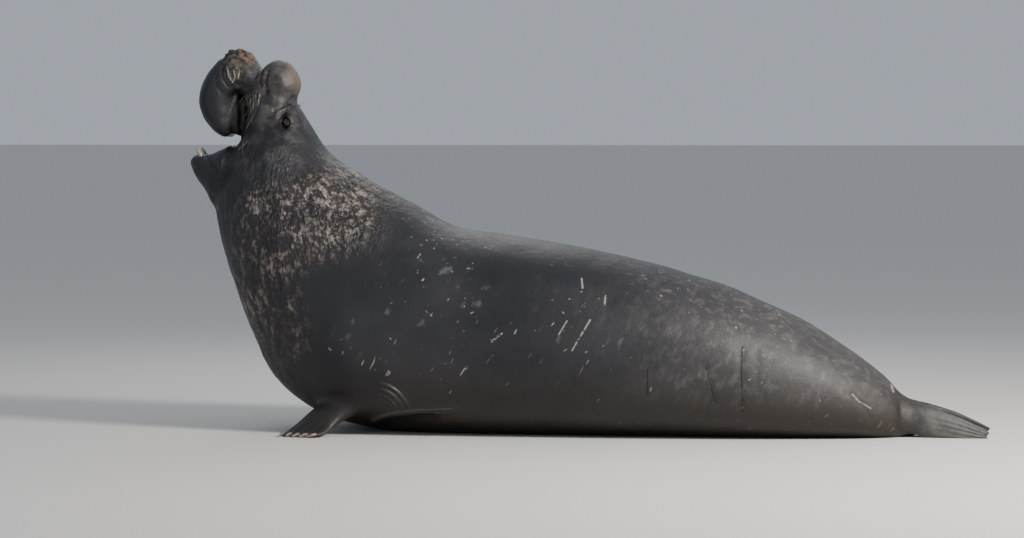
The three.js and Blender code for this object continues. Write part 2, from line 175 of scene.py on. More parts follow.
# Left lower canine, as a path like that of a limb
CANINE_ACROSS = (0, 1, 0)
CANINE = [
    (-1894, -48, 1318, 12, 12),
    (-1902, -50, 1346, 11, 11),
    (-1912, -51, 1368, 8, 8),
    (-1922, -51, 1384, 2, 2),
]

# Face: places and half sizes as x, y and z, and lean about the Y axis in radians. The opening
# between the lids has half a width and half a height. Roof and floor are the mouth's hollows.
EYE_AT, EYE_RADIUS, EYE_TILT = (-1444, -124, 1506), 30, -0.12
LIDS = (43, 33, 54)
OPENING = (20, 31)
NOSTRIL = (-1862, -44, 1492), (26, 9, 34), 0.8
LIP = (-1714, 0, 1545), (36, 84, 112)
ROOF = (-1712, 0, 1392), (46, 70, 48)
FLOOR = (-1806, 0, 1396), (112, 72, 42), -0.34
TONGUE = (-1786, 0, 1354), (96, 48, 25), -0.34


def smoothstep(values, low, high):
    """0 below low, 1 above high, and 3 t^2 - 2 t^3 between."""
    t = np.clip((values - low) / (high - low), 0, 1)
    return t * t * (3 - 2 * t)


def bell(distance, width):
    """exp(-(distance/width)^2)"""
    return np.exp(-((distance / width) ** 2))


def through(table, numbers):
    """Uniform Catmull-Rom curve through the rows of a table, at these row numbers."""
    rows = np.asarray(table, float)
    rows = np.vstack([2 * rows[0] - rows[1], rows, 2 * rows[-1] - rows[-2]])
    cell = np.clip(np.floor(numbers).astype(int), 0, len(table) - 2)
    t = (numbers - cell)[:, None]
    a, b, c, d = (rows[cell + k] for k in range(4))
    return b + 0.5 * t * (c - a + t * (2 * a - 5 * b + 4 * c - d + t * (3 * (b - c) + d - a)))


def spaced(table, spacing, samples=4000):
    """Row numbers along a table, so that its back points come out the wished spacing apart. The
    spacing is one number, or one for each row of the table."""
    fine = np.linspace(0, len(table) - 1, samples)
    places = through(table, fine)[:, :2]
    spacing = np.broadcast_to(spacing, len(table))
    steps = np.linalg.norm(np.diff(places, axis=0), axis=1)
    wished = np.interp(fine[1:], np.arange(len(table)), spacing)
    count = np.concatenate([[0], np.cumsum(steps / wished)])
    return np.interp(np.linspace(0, count[-1], int(count[-1]) + 1), count, fine)


def swell(points, centres, swellings):
    """Pushes points out from the middle of their ring by rise * exp(-(distance/spread)^2)."""
    out = points - centres
    out /= np.maximum(np.linalg.norm(out, axis=-1, keepdims=True), 1e-9)
    total = np.zeros(points.shape[:-1])
    folded = points.copy()
    folded[..., 1] = -np.abs(points[..., 1])
    for x, y, z, spread, rise in swellings:
        away = np.linalg.norm(folded - (x, y, z), axis=-1)
        total += rise * bell(away, spread)
    return points + out * total[..., None]


def loft(table, spacing, facets, swellings=()):
    """Rings between the back curve and the belly curve. At angle a a ring is cos(a)^roundness
    of its half width across, and sin(a)^roundness of the way from its widest place to the back
    or the belly."""
    rows = through(table, spaced(table, spacing))
    angle = np.linspace(0, 2 * np.pi, facets, endpoint=False)
    c, s = np.cos(angle), np.sin(angle)
    half, widest, corner = (rows[:, k : k + 1] for k in (4, 5, 6))
    up = np.sign(s) * np.abs(s) ** corner
    share = widest + up * np.where(up > 0, 1 - widest, widest)
    tall = rows[:, 0:2] - rows[:, 2:4]
    x = rows[:, 2:3] + share * tall[:, :1]
    z = rows[:, 3:4] + share * tall[:, 1:]
    y = -half * np.sign(c) * np.abs(c) ** corner
    middle = rows[:, 2:4] + widest * tall
    centres = np.stack([middle[:, 0], np.zeros(len(rows)), middle[:, 1]], axis=1)[:, None, :]
    return swell(np.stack([x, y, z], axis=2), centres, swellings)


def digit(a):
    """Ridges across a flipper: 1 on each digit, falling off as exp(-(offset/spread)^2)."""
    return bell(a[..., None] - DIGITS, DIGIT_SPREAD).max(axis=-1)


def plain(t, a):
    """A limb with no digits: full thickness, square end."""
    return np.ones_like(t * a), np.zeros_like(t * a)


def webbed(opens, reach, lead):
    """The form of a flipper: its web thins between the digits, which reach on past it, and lead
    tells how much farther each part of the breadth goes."""

    def form(t, a):
        opened = smoothstep(t, opens, 1)
        thin = 1 - (1 - WEB) * opened * (1 - digit(a))
        return thin, opened * (reach * digit(a) + lead(a))

    return form


FORE_FORM = webbed(FORE_OPENS, FORE_DIGIT, lambda a: FORE_FIRST * (1 - a) / 2)
HIND_FORM = webbed(HIND_OPENS, HIND_DIGIT, lambda a: HIND_OUTER * np.abs(a))


def on_limb(table, across, form, t, a, b, step=1e-4):
    """A place on a limb: its path at t, plus a half breadths across, b half thicknesses
    through, and the form's lead along it. The path's direction is taken over two small steps."""
    t, a, b = np.broadcast_arrays(*(np.asarray(v, float) for v in (t, a, b)))
    across = np.asarray(across, float)
    last = len(table) - 1
    rows = through(table, t.ravel() * last).reshape(*t.shape, 5)
    ahead = through(table, np.clip(t.ravel() + step, 0, 1) * last)[:, :3]
    behind = through(table, np.clip(t.ravel() - step, 0, 1) * last)[:, :3]
    along = (ahead - behind).reshape(*t.shape, 3)
    along /= np.linalg.norm(along, axis=-1, keepdims=True)
    over = across - along * (along @ across)[..., None]
    over /= np.linalg.norm(over, axis=-1, keepdims=True)
    up = np.cross(along, over)
    thin, lead = form(t, a)
    point = rows[..., :3] + over * (rows[..., 3] * a)[..., None]
    return point + up * (rows[..., 4] * thin * b)[..., None] + along * lead[..., None]


def limb(table, across, form, rows, facets):
    """Rings round a limb: at angle g a ring is cos(g) across and sin(g) through."""
    t = np.linspace(0, 1, rows)[:, None]
    angle = np.linspace(0, 2 * np.pi, facets, endpoint=False)
    return on_limb(table, across, form, t, np.cos(angle)[None], np.sin(angle)[None])


def leant(points, lean):
    """Points turned about the Y axis: x cos + z sin, and z cos - x sin."""
    x, y, z = np.moveaxis(points, -1, 0)
    c, s = np.cos(lean), np.sin(lean)
    return np.stack([x * c + z * s, y, z * c - x * s], axis=-1)


def ball(centre, radii, lean=0.0, rows=48, facets=64):
    """A stretched sphere: rings of radius sin(p) at height cos(p), leant about the Y axis."""
    p = np.linspace(0, np.pi, rows)[1:-1, None]
    q = np.linspace(0, 2 * np.pi, facets, endpoint=False)[None]
    unit = np.stack([np.sin(p) * np.cos(q), np.sin(p) * np.sin(q), np.cos(p) + 0 * q], axis=2)
    return leant(unit * radii, lean) + centre


def almond(centre, half, tall, lean, depth=110, rows=3, facets=48):
    """A block with an almond outline, half * cos(k)^2 wide at height tall * sin(k), running
    from the centre out to the left."""
    k = np.linspace(0, 2 * np.pi, facets, endpoint=False)[None]
    x = half * np.cos(k) * np.abs(np.cos(k)) + 0 * k
    z = tall * np.sin(k)
    y = np.linspace(0, -depth, rows)[:, None]
    return leant(np.stack(np.broadcast_arrays(x, y, z), axis=2), lean) + centre


def both(rings):
    """Rings of the left side, and the same on the right."""
    return rings, rings * (1, -1, 1)


def grid_mesh(rings):
    """Points and faces of stacked closed rings, with a pole closing each end, wound so that
    its volume comes out positive."""
    rows, facets, _ = rings.shape
    index = np.arange(rows * facets).reshape(rows, facets)
    turned = np.roll(index, -1, axis=1)
    quads = np.stack([index[:-1], turned[:-1], turned[1:], index[1:]], axis=-1).reshape(-1, 4)
    low, high = rows * facets, rows * facets + 1
    start = np.stack([turned[0], index[0], np.full(facets, low)], axis=-1)
    end = np.stack([index[-1], turned[-1], np.full(facets, high)], axis=-1)
    poles = np.stack([rings[0].mean(axis=0), rings[-1].mean(axis=0)])
    points = np.vstack([rings.reshape(-1, 3), poles])
    triangles = np.vstack([quads[:, [0, 1, 2]], quads[:, [0, 2, 3]], start, end])
    a, b, c = (points[triangles[:, k]] for k in range(3))
    faces = [*quads.tolist(), *start.tolist(), *end.tolist()]
    if np.einsum("ij,ij->i", a, np.cross(b, c)).sum() < 0:
        faces = [face[::-1] for face in faces]
    return points, faces


def added(name, data):
    """A new object of the scene."""
    piece = bpy.data.objects.new(name, data)
    bpy.context.scene.collection.objects.link(piece)
    return piece


def mesh_of(name, points, faces):
    """A smooth mesh object from points in table millimetres."""
    mesh = bpy.data.meshes.new(name)
    mesh.from_pydata(((points + TO_MIDDLE) * MM).tolist(), [], faces)
    mesh.shade_smooth()
    return added(name, mesh)


def read(mesh, name):
    """Three numbers for each point of a mesh: its place or its normal."""
    flat = np.empty(len(mesh.vertices) * 3)
    mesh.vertices.foreach_get(name, flat)
    return flat.reshape(-1, 3)


def solid(name, rings):
    """An object from stacked rings, no lower than the floor."""
    points, faces = grid_mesh(rings)
    points[:, 2] = np.maximum(points[:, 2], 0)
    return mesh_of(name, points, faces)


def combined(base, others, operation):
    """Joins or cuts a closed mesh with others, and leaves only the result."""
    for other in others:
        modifier = base.modifiers.new("combine", "BOOLEAN")
        modifier.operation = operation
        modifier.solver = "MANIFOLD"
        modifier.object = other
    graph = bpy.context.evaluated_depsgraph_get()
    mesh = bpy.data.meshes.new_from_object(base.evaluated_get(graph))
    base.modifiers.clear()
    base.data = mesh
    for other in others:
        bpy.data.objects.remove(other)


class Surface:
    """A mesh as arrays: points in table millimetres, edges, and edges at each point."""

    def __init__(self, mesh):
        self.mesh = mesh
        self.points = read(mesh, "co") / MM - TO_MIDDLE
        edges = np.empty(len(mesh.edges) * 2, dtype=np.int64)
        mesh.edges.foreach_get("vertices", edges)
        self.edges = edges.reshape(-1, 2)
        self.count = np.maximum(np.bincount(self.edges.ravel(), minlength=len(self.points)), 1)

    def spread_sum(self, values):
        """For each point, the sum of the values at the far ends of its edges."""
        a, b = self.edges.T
        total = np.bincount(a, weights=values[b], minlength=len(values))
        return total + np.bincount(b, weights=values[a], minlength=len(values))

    def relax(self, weight, rounds):
        """Moves each point towards the mean of its neighbours by its weight, many times."""
        for _ in range(rounds):
            for axis in range(3):
                mean = self.spread_sum(self.points[:, axis]) / self.count
                self.points[:, axis] += weight * (mean - self.points[:, axis])

    def distance_from(self, chosen, reach, rounds=60):
        """Length along the edges from the chosen points, up to a reach. Each round carries it
        one edge farther."""
        a, b = self.edges.T
        length = np.linalg.norm(self.points[a] - self.points[b], axis=1)
        far = np.where(chosen, 0.0, reach)
        for _ in range(rounds):
            before = far.copy()
            np.minimum.at(far, a, before[b] + length)
            np.minimum.at(far, b, before[a] + length)
            if np.array_equal(far, before):
                break
        return far

    def write(self):
        """Puts the points back into the mesh."""
        self.points[:, 2] = np.maximum(self.points[:, 2], 0)
        self.mesh.vertices.foreach_set("co", ((self.points + TO_MIDDLE) * MM).ravel())
        self.mesh.update()

    def normals(self):
        """Outward directions of the points."""
        self.write()
        return read(self.mesh, "normal")


LATTICE_SIZE = 48
LATTICE = np.random.default_rng(7).random([LATTICE_SIZE] * 3)


def noise(points, size, stretch=(1, 1, 1)):
    """Smooth noise from -1 to 1: a lattice of random values, one each size millimetres, mixed
    between its corners with 3 t^2 - 2 t^3."""
    place = points / (size * np.asarray(stretch, float))
    cell = np.floor(place).astype(int)
    t = place - cell
    t = t * t * (3 - 2 * t)
    total = 0
    for corner in np.ndindex(2, 2, 2):
        share = np.prod(np.where(corner, t, 1 - t), axis=1)
        x, y, z = ((cell + corner) % LATTICE_SIZE).T
        total = total + share * LATTICE[x, y, z]
    return 2 * total - 1


def near_line(points, line):
    """Distance in the XZ plane from each point to a line of [x, z] places."""
    flat = points[:, [0, 2]]
    best = np.full(len(points), 1e9)
    for a, b in zip(np.asarray(line[:-1], float), np.asarray(line[1:], float)):
        along = b - a
        t = np.clip((flat - a) @ along / (along @ along), 0, 1)
        best = np.minimum(best, np.linalg.norm(flat - a - t[:, None] * along, axis=1))
    return best


def claw_table(number):
    """The path of a claw: out of the skin on its digit, over a knuckle, and down to its tip."""
    a = DIGITS[number]
    root = on_limb(FOREFLIPPER, FORE_ACROSS, FORE_FORM, CLAW_ROOT, a, CLAW_ROOT_UP)
    end = on_limb(FOREFLIPPER, FORE_ACROSS, FORE_FORM, 1.0, a, 0.0)
    forward = (end - root) * (1, 1, 0)
    forward /= np.linalg.norm(forward)
    knuckle = end + forward * CLAW_LENGTH * CLAW_KNUCKLE
    tip = end + forward * CLAW_LENGTH
    knuckle[2], tip[2] = CLAW_RADIUS + CLAW_TIP_HEIGHT, CLAW_TIP_HEIGHT
    root[2] = max(root[2], knuckle[2])
    radii = (CLAW_RADIUS, CLAW_RADIUS, CLAW_TIP_RADIUS)
    table = [(*place, radius, radius) for place, radius in zip((root, knuckle, tip), radii)]
    return table, (forward[1], -forward[0], 0)


# Wished distance between the rings, for the trunk one at each of its sections. Rings of the
# limbs, then facets of a ring.
TRUNK_SPACING = [10, 10, 11, 13, 16, 18, 18, 18, 18, 17, 15, 13, 12, 11, 10, 9, 8, 7, 6, *[5] * 7]
NOSE_SPACING, JAW_SPACING = 9, 6
FLIPPER_ROWS, TAIL_ROWS, THIN_ROWS = 56, 30, 40
TRUNK_FACETS, NOSE_FACETS, JAW_FACETS, FLIPPER_FACETS = 190, 112, 88, 68
TAIL_FACETS, CLAW_FACETS, CANINE_FACETS = 40, 28, 32


def keys(mesh, cell=0.02 * MM, bits=21):
    """One whole number for each point of a mesh, the same wherever its place, rounded to a cell,
    is the same."""
    x, y, z = np.round(read(mesh, "co") / cell).astype(np.int64).T
    return (x << 2 * bits) + (y << bits) + z


def bare_skin():
    """The trunk, nose, jaw, flippers and tail joined, with the mouth, eyes and nostrils cut.
    Also tells which points were on none of the forms, so lie on the lines where two forms met."""
    skin = solid("skin", loft(TRUNK, TRUNK_SPACING, TRUNK_FACETS, TRUNK_SWELLINGS))
    fore = limb(FOREFLIPPER, FORE_ACROSS, FORE_FORM, FLIPPER_ROWS, FLIPPER_FACETS)
    hind = limb(HIND_FLIPPER, HIND_ACROSS, HIND_FORM, FLIPPER_ROWS, FLIPPER_FACETS)
    joins = [
        solid("nose", loft(NOSE, NOSE_SPACING, NOSE_FACETS, NOSE_SWELLINGS)),
        solid("jaw", loft(JAW, JAW_SPACING, JAW_FACETS)),
        solid("lip", ball(*LIP)),
        solid("tail", limb(TAIL, TAIL_ACROSS, plain, TAIL_ROWS, TAIL_FACETS)),
        *(solid("limb", form) for form in both(fore) + both(hind)),
        *(solid("lids", form) for form in both(ball(EYE_AT, LIDS, EYE_TILT))),
    ]
    known = [keys(piece.data) for piece in (skin, *joins)]
    combined(skin, joins, "UNION")
    opening = almond(EYE_AT, *OPENING, EYE_TILT)
    eye = ball(EYE_AT, [EYE_RADIUS] * 3)
    nostril = ball(*NOSTRIL, rows=30, facets=36)
    cuts = [
        ball(*ROOF),
        ball(*FLOOR),
        *both(opening),
        *both(eye),
        *both(nostril),
    ]
    blades = [solid("cut", form) for form in cuts]
    known += [keys(piece.data) for piece in blades]
    combined(skin, blades, "DIFFERENCE")
    return skin, ~np.isin(keys(skin.data), np.concatenate(known))


def inside(points, centre, radii, lean=0.0):
    """How deep points lie in a leant, stretched ball: 0 at its middle and 1 on its surface."""
    return np.linalg.norm(leant(points - centre, -lean) / radii, axis=-1)


def near(points, centre, reach, squash=1.0):
    """1 at a place of the left side or its mirror, falling off as exp(-(distance/reach)^2)."""
    away = points.copy()
    away[:, 1] = -np.abs(away[:, 1])
    away = (away - centre) * (1, squash, 1)
    return bell(np.linalg.norm(away, axis=1), reach)


# Creases and folds of the skin, as lines of [x, z] places on the side, with the least distance
# from the middle plane, the width and the rise, which is below zero for a crease
FOLDS = [
    ([[-870, 205], [-835, 180], [-815, 150]], 300, 55, 8),
    ([[-975, 65], [-916, 92], [-838, 117], [-701, 131], [-535, 140]], 300, 17, 17),
    ([[-950, 40], [-870, 66], [-780, 82], [-660, 92]], 300, 24, -18),
    ([[825, 446], [822, 300], [826, 139]], 200, 12, -5),
    ([[898, 436], [899, 303], [923, 200]], 200, 14, -3),
    ([[655, 363], [680, 270], [703, 175]], 200, 12, -4),
    ([[385, 337], [385, 218]], 200, 12, -3),
    ([[1338, 218], [1366, 186], [1395, 157], [1423, 101]], 120, 12, -5),
    ([[1540, 205], [1560, 150], [1566, 90], [1556, 40]], 60, 14, -8),
    ([[-1540, 1765], [-1550, 1725], [-1555, 1681], [-1546, 1657]], 50, 9, -9),
    ([[-1575, 1755], [-1583, 1722], [-1578, 1690]], 50, 8, -5),
    ([[-1744, 1780], [-1734, 1736], [-1719, 1701], [-1704, 1726], [-1709, 1765]], 60, 6, 7),
    ([[-1772, 1770], [-1764, 1722], [-1742, 1686]], 60, 6, -6),
    ([[-1682, 1770], [-1684, 1730], [-1700, 1690]], 60, 6, -6),
    ([[-1800, 1740], [-1796, 1690], [-1770, 1650]], 60, 8, -4),
    ([[-1660, 1790], [-1650, 1750], [-1664, 1712]], 60, 7, 5),
    ([[-1631, 1652], [-1621, 1593], [-1612, 1519]], 55, 5, -6),
    ([[-1614, 1650], [-1606, 1590], [-1602, 1530]], 55, 5, -5),
    ([[-1596, 1647], [-1591, 1588], [-1596, 1549]], 55, 5, -6),
    ([[-1571, 1637], [-1576, 1598], [-1586, 1558]], 55, 5, -5),
    ([[-1650, 1640], [-1641, 1580], [-1634, 1500]], 55, 6, -6),
    ([[-1707, 1643], [-1677, 1593], [-1672, 1529], [-1692, 1445]], 70, 20, -14),
    ([[-1430, 1632], [-1448, 1600], [-1468, 1578], [-1500, 1566]], 50, 9, -9),
    ([[-1416, 1596], [-1424, 1572], [-1428, 1552]], 50, 7, -4),
    ([[-1424, 1590], [-1450, 1578], [-1480, 1562], [-1496, 1536]], 60, 10, 10),
    ([[-1500, 1500], [-1482, 1462], [-1448, 1440]], 60, 9, -5),
    ([[-1516, 1498], [-1500, 1446], [-1456, 1414]], 60, 10, -3),
    ([[-1673, 1411], [-1663, 1372], [-1653, 1342]], 60, 5, -6),
    ([[-1632, 1416], [-1663, 1386], [-1688, 1372]], 60, 5, -6),
    ([[-1640, 1395], [-1612, 1330], [-1600, 1250]], 80, 12, -6),
    ([[-1606, 1392], [-1578, 1320], [-1566, 1230]], 80, 12, -5),
    ([[-1560, 1370], [-1536, 1300], [-1530, 1220]], 80, 12, -4),
    ([[-1860, 1330], [-1800, 1270], [-1770, 1190]], 40, 9, -4),
]

# Place and reach of the crest, its tawny scab, the tan bump behind it, the brow, the ear, the
# hands and claws of the foreflippers, a pale patch of the neck, and reach of the eye
CREST = (-1722, -50, 1822), 88
TAWNY = (-1660, -50, 1838), 52
# The tan of the bump and the brow is partly a painted highlight
BUMP = (-1402, -60, 1738), 84
BROW = (-1478, -140, 1560), 34
EAR, EAR_DEPTH = ((-1345, -150, 1440), 8), 7
HAND = (-1240, -490, 40), 150
CLAWS = (-1330, -560, 20), 110
PATCH = (-1140, 0, 1085), 120
EYE_REACH = 62

# Lines of [x, z] places along the middle of the shield, its two pale bands, and the hollow
# between the hanging nose and the muzzle, where shade is painted
SHIELD_LINE = [[-1120, 1120], [-1450, 980], [-1560, 700], [-1480, 480]]
GLOW_LINE = [[-1110, 1060], [-1175, 1175], [-1330, 1150], [-1480, 1110], [-1600, 1120]]
SPECKLED_LINE = [[-1280, 960], [-1480, 900], [-1500, 680], [-1400, 560]]
HOLLOW_LINE = [[-1712, 1640], [-1682, 1593], [-1680, 1529], [-1700, 1445]]

# Smoothing where forms meet, on the body and in the face: reach from their line, and rounds
BODY_REACH, BODY_ROUNDS = 70, 50
FACE_REACH, FACE_ROUNDS = 14, 5


def shape_skin(surface, seam):
    """Rounds the lines where forms meet, then raises folds, creases and roughness along the
    normals. Gives the masks that the colours use."""
    points = surface.points
    eye = near(points, EYE_AT, EYE_REACH)
    roof = inside(points, *ROOF)
    floor = inside(points, *FLOOR)
    folded = np.where([False, True, False], -np.abs(points), points)
    nostril = inside(folded, *NOSTRIL)
    fine = (eye > 0.25) | (roof < 1.02) | (floor < 1.02) | (nostril < 1.05)
    wide = surface.distance_from(seam & ~fine, BODY_REACH)
    weight = 0.6 * (1 - smoothstep(wide, 15, 65)) * (1 - smoothstep(eye, 0.2, 0.5))
    surface.relax(weight, BODY_ROUNDS)
    narrow = surface.distance_from(seam & fine, FACE_REACH)
    surface.relax(0.5 * (1 - smoothstep(narrow, 1, 9)), FACE_ROUNDS)

    points = surface.points
    normals = surface.normals()
    x, y, z = points.T
    side = np.abs(y)
    head = smoothstep(-x, 1300, 1420) * smoothstep(z, 1150, 1350)
    hand = near(points, *HAND) + near(points, *CLAWS)
    tail_end = smoothstep(x, 1560, 1680)
    bare = np.clip(1.4 * hand + tail_end, 0, 1)
    lifted = smoothstep(z, 5, 60)
    body = lifted * (1 - head) * (1 - bare)
    shield = 1 - smoothstep(near_line(points, SHIELD_LINE), 130, 330)
    shield = shield * (1 - head) * lifted
    crest = near(points, *CREST, 0.6)
    throat = smoothstep(z, 780, 1000) * smoothstep(-x, 1280, 1480)
    throat = throat * (1 - smoothstep(z, 1330, 1420))

    rise = body * (5 * noise(points, 230) + 2.2 * noise(points, 95))
    rise += shield * 3.4 * noise(points, 34, (1, 1, 1.7))
    rise -= shield * 5 * (1 - np.abs(noise(points + 300, 58, (0.8, 0.8, 1.7)))) ** 7
    rise += throat * 3.2 * noise(points, 24, (1, 1, 6))
    rise += head * (1.3 * noise(points, 34) + 0.7 * noise(points, 15)) * (1 - eye)
    rise += crest * (13 * np.abs(noise(points, 26)) + 9 * noise(points, 14) - 4)
    rise += bare * lifted * 0.8 * noise(points, 14)
    fold = np.zeros(len(points))
    for line, least, width, height in FOLDS:
        fade = smoothstep(side, least * 0.7, least)
        fold += height * fade * bell(near_line(points, line), width)
    fold -= EAR_DEPTH * near(points, *EAR)
    calm = 1 - smoothstep(eye, 0.5, 0.8)
    surface.points = points + normals * ((rise + fold) * calm)[:, None]
    surface.write()

    glow = bell(near_line(points, GLOW_LINE), 135)
    speckled = 0.6 * bell(near_line(points, SPECKLED_LINE), 190)
    patch = 0.6 * near(points, *PATCH, squash=0)
    # Painted shade in the hollow between the hanging nose and the muzzle
    hollow = bell(near_line(points, HOLLOW_LINE), 27)
    hollow = hollow * (1 - smoothstep(side, 118, 140))
    bump = near(points, *BUMP, 0.7) + 0.7 * near(points, *BROW)
    aside = np.hypot((x - EYE_AT[0]) / OPENING[0], (z - EYE_AT[2]) / OPENING[1])
    mouth = np.minimum(roof, floor)
    return {
        "glow": (np.maximum(glow, speckled) + patch) * shield,
        "hollow": hollow * head,
        # Painted shade round the eye opening
        "lid": (1 - smoothstep(aside, 1.35, 2.3)) * head * smoothstep(side, 60, 90),
        "tawny": near(points, *TAWNY, 0.7),
        "throat": throat,
        "shield": shield,
        "crest": crest,
        "bump": bump * head,
        "mouth": 1 - smoothstep(mouth, 1.0, 1.06),
        # Painted shade inside the nostrils
        "nostril": 1 - smoothstep(nostril, 1.0, 1.15),
        "bare": bare,
        "head": head,
        # Painted shade: dark in the creases, and faintly in low places of the rough skin
        "crease": np.clip(-fold / 12 - 0.06 * rise, 0, 1),
        "middle": 1 - smoothstep(side, 200, 300),
    }


def feed(node, inputs):
    """Gives sockets of a node, by name or number, their constants or links from values."""
    for name, value in inputs.items():
        if isinstance(value, Value):
            value.tree.links.new(value.socket, node.inputs[name])
        else:
            node.inputs[name].default_value = value


def operator(operation, swapped=False):
    """A method that adds a Math node for a value and another, in this order or swapped."""

    def method(self, other):
        return self.math(operation, *((other, self) if swapped else (self, other)))

    return method


class Value:
    """A shader socket. Arithmetic on it adds nodes to its tree, and a.over(b) is the larger."""

    def __init__(self, tree, socket):
        self.tree = tree
        self.socket = socket

    def node(self, kind, inputs, output=0, **settings):
        """Adds any node, sets it up, feeds it sockets or constants, and gives one output."""
        made = self.tree.nodes.new("ShaderNode" + kind)
        for name, setting in settings.items():
            setattr(made, name, setting)
        feed(made, inputs)
        return Value(self.tree, made.outputs[output])

    def math(self, operation, *values):
        """Adds a Math node fed with these values."""
        return self.node("Math", dict(enumerate(values)), operation=operation)

    __add__, __radd__ = operator("ADD"), operator("ADD", True)
    __sub__, __rsub__ = operator("SUBTRACT"), operator("SUBTRACT", True)
    __mul__, __rmul__ = operator("MULTIPLY"), operator("MULTIPLY", True)
    __truediv__, __pow__ = operator("DIVIDE"), operator("POWER")
    over = operator("MAXIMUM")

    def clamped(self):
        """Kept between 0 and 1."""
        return self.node("Clamp", {"Value": self})

    def between(self, low, high):
        """0 below low and 1 above high, smooth in between."""
        inputs = {"Value": self, "From Min": low, "From Max": high}
        return self.node("MapRange", inputs, interpolation_type="SMOOTHSTEP")

    def blend(self, first, second):
        """The first colour where this is 0 and the second where it is 1. Of a Mix node's sockets,
        0 is the share, 6 and 7 are its colours, and output 2 is the mixed colour."""
        inputs = {0: self, 6: first, 7: second}
        return self.node("Mix", inputs, output=2, data_type="RGBA")


class Paint:
    """A material with a surface shader, and the values it can be painted with."""

    def __init__(self, name):
        self.material = bpy.data.materials.new(name)
        self.material.use_nodes = True
        self.tree = self.material.node_tree
        self.shader = self.tree.nodes["Principled BSDF"]
        self.start = Value(self.tree, None)
        self.place = self.start.node("TexCoord", {}, output="Object")

    def mask(self, name):
        """A number kept on the points of the mesh."""
        return self.start.node("Attribute", {}, output="Fac", attribute_name=name)

    def part(self, axis):
        """One coordinate of the place, in metres."""
        return self.place.node("SeparateXYZ", {"Vector": self.place}, output=axis)

    def noise(self, size, detail=4.0, stretch=(1, 1, 1), lean=0.0, rough=0.5):
        """Cloudy noise about 0.5, of a size in metres, stretched along leant axes."""
        scale = tuple(1 / (size * s) for s in stretch)
        turn = self.place.node("Mapping", {"Vector": self.place, "Rotation": (0.0, lean, 0.0)})
        laid = turn.node("Mapping", {"Vector": turn, "Scale": scale})
        inputs = {"Vector": laid, "Scale": 1.0, "Detail": detail, "Roughness": rough}
        return laid.node("TexNoise", inputs)

    def cells(self, size):
        """Distance to the nearest of many scattered points, of a size in metres."""
        laid = self.place.node("Mapping", {"Vector": self.place, "Scale": (1 / size,) * 3})
        return laid.node("TexVoronoi", {"Vector": laid, "Scale": 1.0})

    def streaks(self, lines):
        """1 on any of several streaks."""
        total = self.streak(*lines[0])
        for line in lines[1:]:
            total = total.over(self.streak(*line))
        return total

    def streak(self, first, last, width):
        """1 on a line between two [x, z] places in millimetres, on both sides of the animal."""
        x, z = self.part("X"), self.part("Z")
        (ax, az), (bx, bz) = ((np.array(p) + TO_MIDDLE[[0, 2]]) * MM for p in (first, last))
        dx, dz = bx - ax, bz - az
        along = (((x - ax) * dx + (z - az) * dz) / (dx * dx + dz * dz)).clamped()
        gap = ((x - ax - along * dx) ** 2.0 + (z - az - along * dz) ** 2.0) ** 0.5
        return 1.0 - gap.between(width * 0.3 * MM, width * MM)

    def pleats(self):
        """Rings of folds behind the foreflippers: a cosine of the distance from PLEAT_AT, kept
        between two radii and to the upper quarter that faces the tail."""
        across = self.part("X") - (PLEAT_AT[0] + TO_MIDDLE[0]) * MM
        up = self.part("Z") - PLEAT_AT[1] * MM
        out = (across * across + up * up) ** 0.5
        wave = (2 * np.pi / PLEAT_STEP / MM) * (out - PLEAT_REACH * MM)
        folds = 0.5 + 0.5 * wave.math("COSINE", wave)
        ends = out.between(*PLEAT_INNER) * (1.0 - out.between(*PLEAT_OUTER))
        return folds * ends * across.between(*PLEAT_SIDE) * up.between(*PLEAT_LOW)

    def finish(self, colour, roughness, height=None, depth=0.002, **constants):
        """Feeds the surface shader, with a bump where there is a height. A height of 1 rises by
        the depth, in metres."""
        inputs = {"Base Color": colour, "Roughness": roughness}
        if height is not None:
            inputs["Normal"] = self.start.node("Bump", {"Height": height, "Distance": depth})
        for name, value in constants.items():
            inputs[name.replace("_", " ")] = value
        feed(self.shader, inputs)
        return self.material


# Pleats behind the foreflippers, in millimetres: x and z of their middle, radius of one ring's
# top and step to the next. Then, in metres, where they fade: by radius, to the side, and upwards.
PLEAT_AT, PLEAT_REACH, PLEAT_STEP = (-930, 100), 165, 28
PLEAT_INNER, PLEAT_OUTER = (0.055, 0.095), (0.172, 0.186)
PLEAT_SIDE, PLEAT_LOW = (0.015, 0.070), (0.025, 0.075)

# Colours, as linear red, green and blue
CHARCOAL = (0.01, 0.01, 0.0125, 1)
SLATE = (0.021, 0.0205, 0.024, 1)
DUSTY = (0.052, 0.0485, 0.047, 1)
BROWN = (0.023, 0.017, 0.013, 1)
SHIELD_BASE = (0.019, 0.0155, 0.015, 1)
SHIELD_MIDDLE = (0.07, 0.054, 0.046, 1)
SHIELD_PALE = (0.33, 0.265, 0.22, 1)
